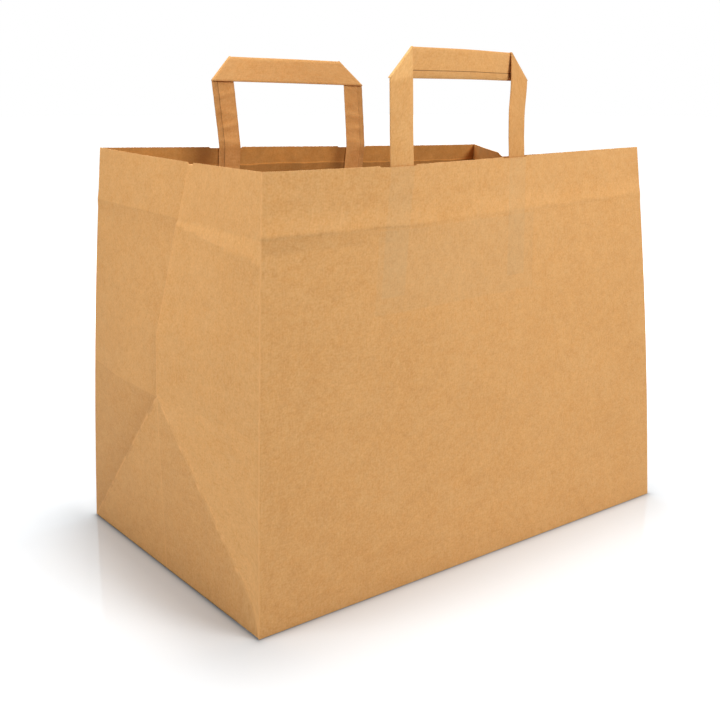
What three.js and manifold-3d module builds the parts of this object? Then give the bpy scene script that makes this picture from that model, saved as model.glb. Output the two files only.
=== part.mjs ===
// A wide kraft-paper carrier bag with a block bottom, side gussets and two flat folded-paper handles.
// It stands open on its base. Units are millimetres, +Z is up and +X runs along the front panel.
// The origin is the middle of the base. The front panel faces -Y and its left edge is at -X.
// The bag is one folded sheet. Each handle is one folded tape, glued inside its panel under a patch.

import * as THREE from 'three';
import { mergeVertices } from 'three/addons/utils/BufferGeometryUtils.js';
import Module from 'manifold-3d';

// Driving dimensions of the bag
const bagWidth = 320;
const bagDepth = 200;
const bagHeight = 240;
const paper = 0.5;

// How far each corner of the mouth has moved from the point straight above its base corner
const mouthFrontLeft = { x: 0.7, y: -6.9, z: -2.8 };
const mouthFrontRight = { x: -1.2, y: 20.7, z: 0.5 };
const mouthBackRight = { x: 1.9, y: -18.9, z: -2.9 };
const mouthBackLeft = { x: 3.4, y: -19.0, z: 2.0 };

// How far the four upright folds bow outwards at half height
const edgeBow = 2.0;

// Bow of the long panels at the mouth, outwards when positive, and how far the bow leans to the left
const frontBow = 10.2;
const frontBowLean = 1.42;
const backBow = -9.0;
const backBowLean = -0.93;

// Side gussets: the centre crease moves in (positive) or out (negative) of the flat side
const apexHeight = 104;
const creaseTurnHeight = 142;
const leftApexIn = -6.8;
const leftTurnIn = -6.6;
const leftMouthIn = 11.6;
const leftCreaseDip = 2.6;
const rightApexIn = 16;
const rightTurnIn = 24;
const rightMouthIn = 52.8;
const rightCreaseDip = 3.5;

// The front half of the right gusset leans, so its rim is lower from a short way past the crease
const rightFrontDrop = 3.3;
const rightDropLead = 4;

// The fold that runs round the bag below its rim
const foldBelowRim = 31.5;
const foldHalfWidth = 4.5;
const foldRise = 0.4;

// The fold across the back, left by the block bottom when the bag was packed flat
const backFoldRise = 0.5;

// Glued lap of the sheet on the back panel
const lapFromRight = 38;
const lapWidth = 20;
const lapStep = 0.3;
const lapEdge = 0.4;

// Block bottom: the front flap covers the back flap, and both cover the folded ends
const flapStep = 0.3;
const flapOverlap = 15;

// Handles: a flat folded tape, turned at each top corner by a 45 degree fold
const tapeWidth = 16;
const tapeThickness = 0.6;
const tapeSeam = 4;
const tapeSeamStep = 0.2;
const tapeFoldRadius = 0.65;
const handleSpan = 117;
const frontHandleHeight = 59;
const rearHandleHeight = 58;
const handleReach = 70;
const frontHandleFrom = 72.5;
const rearHandleFrom = 81.5;
const glueGap = 0.3;

// How far the top of each handle stands out from its panel at its left and right legs
const frontHandleLeftOut = -7.0;
const frontHandleRightOut = -3.0;
const rearHandleLeftOut = 13.0;
const rearHandleRightOut = 12.7;

// How far the top of each handle slides to the right at its left and right legs
const frontHandleLeftShift = -1.5;
const frontHandleRightShift = 4.0;
const rearHandleLeftShift = -3.2;
const rearHandleRightShift = -1.6;

// Patches that hold the handle legs
const patchWidth = 130;
const patchHeight = 45;
const patchBelowRim = 34;
const patchThickness = 0.5;
const patchRamp = 2.0;
const patchSlack = 0.5;
const patchShift = 2.5;

// Shallow dips of the rim where the legs leave the bag
const dipDepth = 0.7;
const dipLead = 7.5;
const dipTail = 1.5;
const dipSlope = 1.0;

// How closely the surfaces are followed
const panelStep = 16;
const gussetSteps = 16;
const apexLevels = 8;
const wallStep = 17;
const tapeStep = 11;
const tapeBendSteps = 4;
const patchStep = 14;
const slopeReach = 2;

const up = new THREE.Vector3(0, 0, 1);

function kraft(color) {
  return new THREE.MeshStandardMaterial({ color, roughness: 0.86, metalness: 0 });
}

const clamp01 = (x) => Math.min(1, Math.max(0, x));

const mix = (a, b, t) => a + (b - a) * t;

// Places along a line: every mark is kept, and the stretches between marks are divided evenly
function stations(marks, step) {
  const sorted = [...marks].sort((a, b) => a - b);
  const places = [sorted[0]];
  for (let i = 1; i < sorted.length; i++) {
    const length = sorted[i] - sorted[i - 1];
    if (length < 1e-6) continue;
    const count = Math.max(1, Math.round(length / step));
    for (let k = 1; k <= count; k++) places.push(sorted[i - 1] + (length * k) / count);
  }
  return places;
}

// One of the four upright edges, at a share t of its height
function corner(side, end, t) {
  const [sx, sy, shift] = {
    frontleft: [-1, -1, mouthFrontLeft],
    frontright: [1, -1, mouthFrontRight],
    backright: [1, 1, mouthBackRight],
    backleft: [-1, 1, mouthBackLeft],
  }[side + end];
  const bow = edgeBow * Math.SQRT1_2 * Math.sin(Math.PI * t);
  return new THREE.Vector3(
    sx * (bagWidth / 2 + bow) + shift.x * t,
    sy * (bagDepth / 2 + bow) + shift.y * t,
    (bagHeight + shift.z) * t,
  );
}

// The fold below the rim stands out as a low ridge
function ridge(v) {
  return foldRise * clamp01(1 - Math.abs(v - (bagHeight - foldBelowRim)) / foldHalfWidth);
}

// The fold across the back lies level with the top of the block bottom's slanting folds
function backRidge(v) {
  return backFoldRise * clamp01(1 - (Math.abs(v - apexHeight) * apexLevels) / apexHeight);
}

// A point on a long panel: s runs from its left edge to its right edge seen from the front
function longPanel(side, s, v) {
  const t = v / bagHeight;
  const left = corner(side, 'left', t);
  const right = corner(side, 'right', t);
  const k = s / bagWidth;
  const out = new THREE.Vector3(right.y - left.y, left.x - right.x, 0).normalize();
  if (side === 'back') out.negate();
  const bow = side === 'front' ? frontBow : backBow;
  const lean = side === 'front' ? frontBowLean : backBowLean;
  const shape = 4 * k * (1 - k) * (1 + lean * (1 - 2 * k));
  const folds = ridge(v) + (side === 'back' ? backRidge(v) : 0);
  return left.lerp(right, k).addScaledVector(out, bow * shape * t * t + folds);
}

const gussets = {
  left: {
    apexIn: leftApexIn,
    turnIn: leftTurnIn,
    mouthIn: leftMouthIn,
    dip: leftCreaseDip,
    frontDrop: 0,
  },
  right: {
    apexIn: rightApexIn,
    turnIn: rightTurnIn,
    mouthIn: rightMouthIn,
    dip: rightCreaseDip,
    frontDrop: rightFrontDrop,
  },
};

// How far the centre crease of a gusset has moved in, above the apex of the block bottom's folds
function creaseIn({ apexIn, turnIn, mouthIn }, v) {
  if (v < creaseTurnHeight) return mix(apexIn, turnIn, (v - apexHeight) / (creaseTurnHeight - apexHeight));
  return mix(turnIn, mouthIn, (v - creaseTurnHeight) / (bagHeight - creaseTurnHeight));
}

// A point on a side: s runs from its front edge to its back edge
function gussetPanel(end, s, v) {
  const gusset = gussets[end];
  const t = v / bagHeight;
  const front = corner('front', end, t);
  const back = corner('back', end, t);
  const share = Math.min(s, bagDepth - s) / (bagDepth / 2);
  const inward = new THREE.Vector3(back.y - front.y, front.x - back.x, 0).normalize();
  if (end === 'right') inward.negate();
  const low = gusset.apexIn * Math.min(v / apexHeight, share);
  const depth = v <= apexHeight ? low : creaseIn(gusset, v) * share;
  const folds = ridge(v) + (s > bagDepth / 2 ? backRidge(v) * (1 - share) : 0);
  const point = front.lerp(back, s / bagDepth).addScaledVector(inward, depth - folds);
  const drop = gusset.frontDrop * clamp01((bagDepth / 2 - s) / rightDropLead);
  point.z -= (gusset.dip + drop) * share * clamp01((v - apexHeight) / (bagHeight - apexHeight));
  return point;
}

// Where each handle starts along its panel
const handleFrom = { front: frontHandleFrom, back: rearHandleFrom };

// The rim dips a little beside and over each leg
function rimDip(side, s) {
  let dip = 0;
  for (const leg of [handleFrom[side], handleFrom[side] + handleSpan - tapeWidth]) {
    const from = leg - dipLead;
    const to = leg + tapeWidth + dipTail;
    dip = Math.max(dip, clamp01((s - from) / dipSlope) * clamp01((to - s) / dipSlope));
  }
  return dip * dipDepth;
}

function dipMarks(side) {
  return [handleFrom[side], handleFrom[side] + handleSpan - tapeWidth].flatMap((leg) => [
    leg - dipLead,
    leg - dipLead + dipSlope,
    leg + tapeWidth + dipTail - dipSlope,
    leg + tapeWidth + dipTail,
  ]);
}

// Heights of the rings of points that make the walls
const wallLevels = [
  ...Array.from({ length: apexLevels }, (_, i) => (apexHeight * i) / apexLevels),
  ...stations(
    [apexHeight, creaseTurnHeight, bagHeight - foldBelowRim - foldHalfWidth],
    wallStep,
  ),
  bagHeight - foldBelowRim,
  ...stations([bagHeight - foldBelowRim + foldHalfWidth, bagHeight], wallStep),
];

// The columns of points round the bag, anticlockwise seen from above, starting at the front left edge
function wallColumns() {
  const columns = [];
  const gussetStations = Array.from({ length: gussetSteps + 1 }, (_, i) => (bagDepth * i) / gussetSteps);
  const lapStart = bagWidth - lapFromRight - lapWidth;
  const lapEnd = bagWidth - lapFromRight;
  const frontStations = stations([0, bagWidth, ...dipMarks('front')], panelStep);
  const backStations = stations([0, bagWidth, lapStart, lapEnd, lapEnd + lapEdge, ...dipMarks('back')], panelStep);
  const lapRise = (s) => {
    if (s < lapStart || s > lapEnd + lapEdge / 2) return 0;
    return (lapStep * (s - lapStart)) / lapWidth;
  };
  for (const s of frontStations.slice(0, -1)) {
    columns.push({ point: (v) => longPanel('front', s, v), dip: rimDip('front', s), rise: 0 });
  }
  for (const s of gussetStations.slice(0, -1)) {
    columns.push({ point: (v) => gussetPanel('right', s, v), dip: 0, rise: 0, pastCrease: s >= bagDepth / 2 });
  }
  for (const s of backStations.slice(1).reverse()) {
    columns.push({ point: (v) => longPanel('back', s, v), dip: rimDip('back', s), rise: lapRise(s) });
  }
  for (const s of gussetStations.slice(1).reverse()) {
    columns.push({ point: (v) => gussetPanel('left', s, v), dip: 0, rise: 0, pastCrease: s <= bagDepth / 2 });
  }
  return columns;
}

// Moves a closed ring of points outwards by a distance at each point, keeping mitred corners
function offsetRing(ring, distance) {
  const count = ring.length;
  return ring.map((point, i) => {
    const before = ring[(i + count - 1) % count];
    const after = ring[(i + 1) % count];
    const first = new THREE.Vector3().subVectors(point, before).setZ(0).normalize().cross(up);
    const second = new THREE.Vector3().subVectors(after, point).setZ(0).normalize().cross(up);
    const mitre = new THREE.Vector3().addVectors(first, second);
    return point.clone().addScaledVector(mitre, distance(i) / (1 + first.dot(second)));
  });
}

function geometryOf(points, triangles) {
  const geometry = new THREE.BufferGeometry();
  geometry.setAttribute('position', new THREE.Float32BufferAttribute(points.flatMap((p) => [p.x, p.y, p.z]), 3));
  geometry.setIndex(triangles.flat());
  return geometry;
}

// The upstanding walls and the base as one closed shell, before the flap steps are cut
function shellGeometry() {
  const columns = wallColumns();
  const count = columns.length;
  const floorTop = paper + 2 * flapStep;
  const points = [];
  const triangles = [];
  const rings = { outer: [], inner: [] };
  for (const [j, level] of wallLevels.entries()) {
    const top = j === wallLevels.length - 1;
    const ringAt = (height) => columns.map((c) => c.point(top ? height - c.dip : height));
    const skins = {
      outer: offsetRing(ringAt(level), (i) => columns[i].rise),
      inner: offsetRing(ringAt(Math.max(level, floorTop)), () => -paper),
    };
    if (j === 0) skins.outer.forEach((p) => p.setZ(0));
    if (j === 0) skins.inner.forEach((p) => p.setZ(floorTop));
    for (const skin of ['outer', 'inner']) {
      rings[skin].push(points.length);
      points.push(...skins[skin]);
    }
  }
  const quad = (a, b, c, d, slash) => {
    if (slash) triangles.push([a, b, c], [a, c, d]);
    else triangles.push([a, b, d], [b, c, d]);
  };
  // On the gussets the triangles' long sides follow the slanting folds of the block bottom
  const risesForward = (i) => !columns[i].pastCrease;
  for (let j = 0; j + 1 < wallLevels.length; j++) {
    for (let i = 0; i < count; i++) {
      const n = (i + 1) % count;
      const [a, b] = [rings.outer[j], rings.outer[j + 1]];
      const [c, d] = [rings.inner[j], rings.inner[j + 1]];
      quad(a + i, a + n, b + n, b + i, risesForward(i));
      quad(d + i, d + n, c + n, c + i, !risesForward(i));
    }
  }
  const last = wallLevels.length - 1;
  for (let i = 0; i < count; i++) {
    const n = (i + 1) % count;
    quad(rings.outer[last] + i, rings.outer[last] + n, rings.inner[last] + n, rings.inner[last] + i, true);
  }
  const cap = (start, z, facesUp) => {
    const middle = points.length;
    points.push(new THREE.Vector3(0, 0, z));
    for (let i = 0; i < count; i++) {
      const n = (i + 1) % count;
      triangles.push(facesUp ? [middle, start + i, start + n] : [middle, start + n, start + i]);
    }
  };
  cap(rings.outer[0], 0, false);
  cap(rings.inner[0], floorTop, true);
  return geometryOf(points, triangles);
}

// Cuts into the underside that leave the folded flaps of the block bottom standing as layers
function flapCutters() {
  const x = bagWidth / 2;
  const y = bagDepth / 2;
  const beyond = 5;
  const meet = x - y;
  const prism = (outline, depth) => {
    const shape = new THREE.Shape(outline.map(([px, py]) => new THREE.Vector2(px, py)));
    const geometry = new THREE.ExtrudeGeometry(shape, { depth: depth + beyond, bevelEnabled: false });
    return geometry.translate(0, 0, -beyond);
  };
  const backFlap = [
    [x + beyond, y + beyond],
    [-x - beyond, y + beyond],
    [-meet, 0],
    [-meet + flapOverlap, flapOverlap],
    [meet - flapOverlap, flapOverlap],
    [meet, 0],
  ];
  const end = (side) => [
    [side * meet, 0],
    [side * (x + beyond), y + beyond],
    [side * (x + beyond), -y - beyond],
  ];
  return [prism(backFlap, flapStep), prism(end(-1), 2 * flapStep), prism(end(1), 2 * flapStep)];
}

const wasm = await Module();
wasm.setup();

function toSolid(geometry) {
  const bare = geometry.clone();
  bare.deleteAttribute('normal');
  bare.deleteAttribute('uv');
  const merged = mergeVertices(bare, 1e-5);
  return new wasm.Manifold(
    new wasm.Mesh({
      numProp: 3,
      vertProperties: new Float32Array(merged.attributes.position.array),
      triVerts: new Uint32Array(merged.index.array),
    }),
  );
}

function toGeometry(solid) {
  const mesh = solid.getMesh();
  const geometry = new THREE.BufferGeometry();
  geometry.setAttribute('position', new THREE.BufferAttribute(new Float32Array(mesh.vertProperties), 3));
  geometry.setIndex(new THREE.BufferAttribute(new Uint32Array(mesh.triVerts), 1));
  return geometry;
}

function bagBody() {
  let solid = toSolid(shellGeometry());
  for (const cutter of flapCutters()) solid = solid.subtract(toSolid(cutter));
  return toGeometry(solid);
}

const handleShape = {
  front: {
    height: frontHandleHeight,
    outs: [frontHandleLeftOut, frontHandleRightOut],
    shifts: [frontHandleLeftShift, frontHandleRightShift],
  },
  back: {
    height: rearHandleHeight,
    outs: [rearHandleLeftOut, rearHandleRightOut],
    shifts: [rearHandleLeftShift, rearHandleRightShift],
  },
};

// A point beside a panel: along it, above (+) or below (-) its rim, and inwards from its inner face
function besidePanel(side, along, height, inwards) {
  const s = handleFrom[side] + along;
  const v = bagHeight + Math.min(height, 0);
  const here = longPanel(side, s, v);
  const across = longPanel(side, s + slopeReach, v).sub(longPanel(side, s - slopeReach, v)).normalize();
  const below = longPanel(side, s, v - slopeReach);
  const above = longPanel(side, s, Math.min(v + slopeReach, bagHeight));
  const rising = above.sub(below).normalize();
  const out = new THREE.Vector3().crossVectors(across, rising).normalize();
  if (side === 'back') out.negate();
  if (height > 0) {
    const { height: full, outs, shifts } = handleShape[side];
    const share = along / handleSpan;
    const rise = height / full;
    here.addScaledVector(rising, height);
    here.addScaledVector(out, mix(outs[0], outs[1], share) * rise);
    here.addScaledVector(across, mix(shifts[0], shifts[1], share) * rise);
  }
  return here.addScaledVector(out, -paper - inwards);
}

// A thick sheet over a grid of places, given as a function of the layer (0 or 1), closed all round
function thickSheet(rows, columns, place) {
  const points = [];
  const triangles = [];
  const index = (layer, i, j) => layer * rows * columns + i * columns + j;
  for (const layer of [0, 1]) {
    for (let i = 0; i < rows; i++) {
      for (let j = 0; j < columns; j++) points.push(place(layer, i, j));
    }
  }
  const quad = (a, b, c, d) => triangles.push([a, b, c], [a, c, d]);
  for (let i = 0; i + 1 < rows; i++) {
    for (let j = 0; j + 1 < columns; j++) {
      quad(index(0, i, j), index(0, i, j + 1), index(0, i + 1, j + 1), index(0, i + 1, j));
      quad(index(1, i + 1, j), index(1, i + 1, j + 1), index(1, i, j + 1), index(1, i, j));
    }
  }
  for (let i = 0; i + 1 < rows; i++) {
    quad(index(0, i, 0), index(0, i + 1, 0), index(1, i + 1, 0), index(1, i, 0));
    const e = columns - 1;
    quad(index(0, i + 1, e), index(0, i, e), index(1, i, e), index(1, i + 1, e));
  }
  for (let j = 0; j + 1 < columns; j++) {
    quad(index(0, 0, j + 1), index(0, 0, j), index(1, 0, j), index(1, 0, j + 1));
    const e = rows - 1;
    quad(index(0, e, j), index(0, e, j + 1), index(1, e, j + 1), index(1, e, j));
  }
  return { points, triangles };
}

// Turns every triangle round when the closed sheet would face inwards
function facingOut({ points, triangles }) {
  let volume = 0;
  for (const [a, b, c] of triangles) volume += points[a].dot(new THREE.Vector3().crossVectors(points[b], points[c]));
  return geometryOf(points, volume > 0 ? triangles : triangles.map(([a, b, c]) => [a, c, b]));
}

// The tape's rows run from the foot of the left leg, over the strip and down to the foot of the right
// leg. q runs across it from its seam edge, which is the outer edge of both legs and the lower edge of
// the strip. turn is 0 where the tape's plain face looks out of the bag, and pi where it looks in.
function tapeHandle(side) {
  const wallMarks = wallLevels.map((v) => v - bagHeight).filter((h) => h > -handleReach && h < 0);
  const legTop = handleShape[side].height - tapeWidth;
  const legMarks = stations([-handleReach, ...wallMarks, 0, legTop], tapeStep);
  const stripMarks = stations([tapeWidth, handleSpan - tapeWidth], tapeStep);
  const acrossMarks = [0, tapeSeam, tapeSeam + tapeSeamStep, tapeWidth / 2 + tapeSeam / 2, tapeWidth];
  const legDepth = glueGap + tapeThickness / 2;
  const rows = [];

  // Leg rows slope to meet the fold: their inner end is higher than their outer end
  const legRow = (h, mirror) => (q) => {
    const slope = clamp01(h / legTop);
    const height = h + slope * q;
    return { a: mirror ? handleSpan - q : q, h: height, turn: 0 };
  };
  const stripRow = (a) => (q) => {
    const share = (a - tapeWidth) / (handleSpan - 2 * tapeWidth);
    const reach = mix(-1, 1, share) * (tapeWidth - q);
    return { a: a + reach, h: legTop + q, turn: Math.PI };
  };
  const bendRow = (angle, mirror) => (q) => {
    const push = tapeFoldRadius * Math.sin(angle) * Math.SQRT1_2;
    const a = q - push;
    return { a: mirror ? handleSpan - a : a, h: legTop + q + push, turn: angle };
  };
  const bendAngles = Array.from({ length: tapeBendSteps - 1 }, (_, k) => (Math.PI * (k + 1)) / tapeBendSteps);
  for (const h of legMarks) rows.push({ at: legRow(h, false), mirror: false });
  for (const angle of bendAngles) rows.push({ at: bendRow(angle, false), mirror: false });
  for (const a of stripMarks) rows.push({ at: stripRow(a), mirror: false });
  for (const angle of [...bendAngles].reverse()) rows.push({ at: bendRow(angle, true), mirror: true });
  for (const h of [...legMarks].reverse()) rows.push({ at: legRow(h, true), mirror: true });

  const place = (layer, i, j) => {
    const { at, mirror } = rows[i];
    const q = acrossMarks[j];
    const { a, h, turn } = at(q);
    const thick = tapeThickness + (q <= tapeSeam ? tapeSeamStep : 0);
    const face = layer === 0 ? -tapeThickness / 2 : thick - tapeThickness / 2;
    const inwards = legDepth + tapeFoldRadius * (1 - Math.cos(turn)) + face * Math.cos(turn);
    const slide = face * Math.sin(turn) * Math.SQRT1_2;
    return besidePanel(side, mirror ? a - slide : a + slide, h - slide, inwards);
  };
  return facingOut(thickSheet(rows.length, acrossMarks.length, place));
}

// The patch lies on the panel and rises over each leg and round its foot
function handlePatch(side) {
  const from = patchShift - (patchWidth - handleSpan) / 2;
  const legs = [0, handleSpan - tapeWidth];
  const stack = tapeThickness + tapeSeamStep + glueGap;
  const marks = [from, from + patchWidth];
  for (const leg of legs) {
    const end = leg + tapeWidth;
    marks.push(leg - patchRamp - patchSlack, leg - patchSlack, end + patchSlack, end + patchSlack + patchRamp);
  }
  const alongs = stations(marks, patchStep);
  const top = -patchBelowRim;
  const foot = -handleReach - patchSlack;
  const levels = wallLevels.map((v) => v - bagHeight).filter((h) => h < top && h > foot);
  const heights = stations([top - patchHeight, foot - patchRamp, foot, ...levels, top], patchStep);
  const rise = (a, h) => {
    let over = 0;
    for (const leg of legs) {
      const middle = leg + tapeWidth / 2;
      const beyond = Math.abs(a - middle) - tapeWidth / 2 - patchSlack;
      over = Math.max(over, clamp01(1 - beyond / patchRamp));
    }
    return stack * over * clamp01((h - foot + patchRamp) / patchRamp);
  };
  const place = (layer, i, j) => {
    const a = alongs[i];
    const h = heights[j];
    return besidePanel(side, a, h, glueGap + rise(a, h) + layer * patchThickness);
  };
  return facingOut(thickSheet(alongs.length, heights.length, place));
}

function named(name, geometry, color) {
  const mesh = new THREE.Mesh(geometry, kraft(color));
  mesh.name = name;
  return mesh;
}

const group = new THREE.Group();
group.add(named('bag_body', bagBody(), 0xc6935a));
group.add(named('front_handle', tapeHandle('front'), 0xb98650));
group.add(named('rear_handle', tapeHandle('back'), 0xb98650));
group.add(named('front_handle_patch', handlePatch('front'), 0xb07f4b));
group.add(named('rear_handle_patch', handlePatch('back'), 0xb07f4b));

export default group;
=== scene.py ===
"""Looks for a wide kraft-paper carrier bag: folded sheet, two folded-tape handles and their patches."""

import math

import bpy
import numpy as np
from mathutils import Matrix, Vector


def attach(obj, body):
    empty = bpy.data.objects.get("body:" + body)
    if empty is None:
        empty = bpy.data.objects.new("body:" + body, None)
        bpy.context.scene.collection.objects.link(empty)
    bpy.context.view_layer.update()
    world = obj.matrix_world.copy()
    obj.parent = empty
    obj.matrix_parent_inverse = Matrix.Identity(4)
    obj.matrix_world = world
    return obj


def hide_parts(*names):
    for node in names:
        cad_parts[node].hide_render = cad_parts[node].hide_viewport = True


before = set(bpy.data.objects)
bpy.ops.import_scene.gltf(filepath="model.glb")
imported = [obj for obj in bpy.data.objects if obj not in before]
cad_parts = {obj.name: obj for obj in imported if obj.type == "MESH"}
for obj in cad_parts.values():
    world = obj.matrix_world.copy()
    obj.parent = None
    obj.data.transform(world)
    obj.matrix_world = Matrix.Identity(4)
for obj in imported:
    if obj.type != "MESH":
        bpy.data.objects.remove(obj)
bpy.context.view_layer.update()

MM = 0.001

# Shape of the bag in millimetres, the same values as the solids apart from APEX and the paper
W, D, H = 320.0, 200.0, 240.0
# Upright edges: signs of the base's corner, and how far the mouth's corner is moved from straight above it
MOUTH = {
    ("front", "left"): (-1, -1, (0.7, -6.9, -2.8)),
    ("front", "right"): (1, -1, (-1.2, 20.7, 0.5)),
    ("back", "right"): (1, 1, (1.9, -18.9, -2.9)),
    ("back", "left"): (-1, 1, (3.4, -19.0, 2.0)),
}
EDGE_BOW = 2.0
# Bow of each long panel at the rim, and how much of it leans to one end
BOW = {"front": (10.2, 1.42), "back": (-9.0, -0.93)}
# Heights of the point of the base triangle, and of the turn in the gusset's crease
APEX, TURN = 106.5, 142.0
# How far in the gusset's crease lies at the apex, the turn and the mouth, and how far the rim dips there
GUSSET = {"left": (-5.6, -6.2, 11.6, 2.6), "right": (16.0, 24.0, 52.8, 3.5)}
RIGHT_DROP, DROP_LEAD = 3.3, 4.0
# Height of the fold below the rim
FOLD = H - 31.5
FLAP_STEP, FLAP_OVERLAP = 0.3, 15.0
LAP_FROM, LAP_WIDTH, LAP_STEP = 38.0, 20.0, 0.3
CAD_PAPER, PAPER = 0.5, 0.32
TAPE_W, TAPE_T, SEAM_STEP, TAPE_R = 16.0, 0.6, 0.2, 0.65
SPAN, REACH, GLUE = 117.0, 70.0, 0.3
HANDLE_H = {"front": 59.0, "back": 58.0}
HANDLE_FROM = {"front": 72.5, "back": 81.5}
# Lean of the left and the right leg at the top, away from the panel and along it
HANDLE_OUT = {"front": (-7.0, -3.0), "back": (13.0, 12.7)}
HANDLE_ALONG = {"front": (-1.5, 4.0), "back": (-3.2, -1.6)}
PATCH_W, PATCH_H, PATCH_BELOW, PATCH_T = 130.0, 45.0, 34.0, 0.3
PATCH_RAMP, PATCH_SLACK, PATCH_SHIFT = 2.0, 0.5, 2.5
# Dips of the rim at the handles' legs
DIP_DEPTH, DIP_LEAD, DIP_TAIL, DIP_SLOPE = 0.7, 7.5, 1.5, 1.0

# Mesh of the sheet: spacing, rows beside the folds, and the height of its inside floor
COLUMN_STEP, ROW_STEP = 2.9, 2.7
BESIDE_EDGE = [0.4, 1.0, 2.0, 4.0]
BESIDE_FOLD = [0.0, 0.35, 0.8, 1.5, 2.4, 3.3, 4.5, 6.0]
BELOW_FOLD = [6.7, 7.5, 8.5, 9.5]
FLOOR_TOP = 1.1
# The cut rim: its band, columns per cell, teeth, wear and one nick in the left side
RIM_BAND, RIM_FINE, RIM_WEAR = 1.1, 6, 0.04
TOOTH_PITCH, TOOTH_DEPTH = 0.5, 0.42
NICK_AT, NICK_HALF, NICK_DEPTH = 97.5, 3.6, 0.9
# Length of a line square to the slanting folds, for a height of 1 above them
SLANT_RATIO = 1.443
# Values that stand for far from any fold
FAR_EDGE, FAR_SLANT = 60.0, 30.0


def clamp01(x):
    return np.clip(x, 0.0, 1.0)


def smooth(x):
    x = clamp01(x)
    return x * x * (3 - 2 * x)


def unit(v):
    return v / np.maximum(np.linalg.norm(v, axis=-1, keepdims=True), 1e-12)


# How far the fold below the rim stands out at each upright edge
EDGE_FOLD = {("front", "left"): 0.55, ("front", "right"): 0.25, ("back", "right"): 0.3, ("back", "left"): 0.3}


def crest(d, above, below):
    """A ridge of height 1 at d = 0 with straight flanks of the given widths and a rounded top."""
    rounding, reach = 0.12, 0.7
    width = np.where(d > 0, above, below)
    peak = clamp01(1 - np.abs(d) / width)
    return peak - rounding * np.exp(-((d / reach) ** 2))


def edge_fold(side, end, v):
    return EDGE_FOLD[(side, end)] * crest(v - FOLD, 6.0, 5.0)


def corner(side, end, t):
    """A point on an upright edge, at a share t of its height."""
    sx, sy, shift = MOUTH[(side, end)]
    out = EDGE_BOW * math.sqrt(0.5) * np.sin(math.pi * t) + edge_fold(side, end, t * H)
    x = sx * (W / 2 + out) + shift[0] * t
    y = sy * (D / 2 + out) + shift[1] * t
    return np.stack([x, y, (H + shift[2]) * t], -1)


def fold_relief(wall, s, v):
    """How far the folds across a wall stand out from its upright edges."""
    d = v - FOLD
    if wall == "front":
        height = 0.18 + 0.42 * np.exp(-s / 80.0)
        own = height * crest(d, 6.0, 3.0 + 5.0 * np.exp(-s / 22.0))
        edges = [edge_fold("front", "left", v), edge_fold("front", "right", v)]
    elif wall == "back":
        own = 0.35 * crest(d, 4.0, 5.0) + 0.5 * crest(v - APEX, 9.0, 12.0)
        edges = [edge_fold("back", "left", v), edge_fold("back", "right", v)]
    else:
        # a step on the near half, which is deepest at the near edge, and a ridge on the rear half
        rear = smooth((s - D / 2) / 4.0)
        lower = 3.0 + 4.2 * clamp01(1 - s / 95.0)
        step = 0.75 * clamp01(-d / lower) * smooth(1 - (-d - lower) / 34.0)
        ridge = 0.42 * crest(d, 9.0, 3.6)
        own = step * (1 - rear) + ridge * rear
        # the rear half swells a little between the slanting fold and the middle of the side
        diagonal = APEX * np.minimum(s, D - s) / (D / 2)
        below = clamp01((v - diagonal) / np.maximum(APEX - diagonal, 6.0))
        above = smooth(1 - (v - APEX) / 70.0)
        hump = 2.6 * clamp01((s - D / 2) / 45.0) * clamp01((D - s) / 45.0)
        own = own + hump * np.where(v < APEX, below, above)
        edges = [edge_fold("front", wall, v), edge_fold("back", wall, v)]
    length = W if wall in ("front", "back") else D
    k = s / length
    hold = smooth(np.minimum(s, length - s) / 9.0)
    return (own - edges[0] * (1 - k) - edges[1] * k) * hold


def long_panel(side, s, v):
    """A point of the front or back panel, s along it from its left end and v up it."""
    t = v / H
    left, right = corner(side, "left", t), corner(side, "right", t)
    k = s / W
    across = right - left
    out = unit(np.stack([across[..., 1], -across[..., 0], np.zeros_like(t * s)], -1))
    if side == "back":
        out = -out
    bow, lean = BOW[side]
    shape = 4 * k * (1 - k) * (1 + lean * (1 - 2 * k))
    amount = bow * shape * t * t + fold_relief(side, s, v) + relief(side, s, v)
    return left + across * k[..., None] + out * amount[..., None]


def crease_in(end, v):
    """How far in the gusset's crease lies above the apex, with a rounded turn."""
    round_over = 12
    apex_in, turn_in, mouth_in, _ = GUSSET[end]
    low = apex_in + (turn_in - apex_in) * (v - APEX) / (TURN - APEX)
    high = turn_in + (mouth_in - turn_in) * (v - TURN) / (H - TURN)
    blend = smooth((v - TURN + round_over) / (2 * round_over))
    return low * (1 - blend) + high * blend


# How much higher than the base corner the near slanting fold of the left side starts
SLANT_LIFT, SLANT_LEAD = 13.0, 4.0


def lifted(end, s, v):
    """Heights below the apex, moved so that the near slanting fold of the left side runs a little higher."""
    if end != "left":
        return v
    share = np.minimum(s, D - s) / (D / 2)
    lift = np.where(s < D / 2, SLANT_LIFT * (1 - share) * (1 - np.exp(-s / SLANT_LEAD)), 0.0)
    line = APEX * share
    below = v * (1 + lift / np.maximum(line, 1e-9))
    above = APEX - (APEX - v) * (1 - lift / np.maximum(APEX - line, 1e-9))
    return np.where(v >= APEX, v, np.where(v <= line, below, above))


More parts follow.
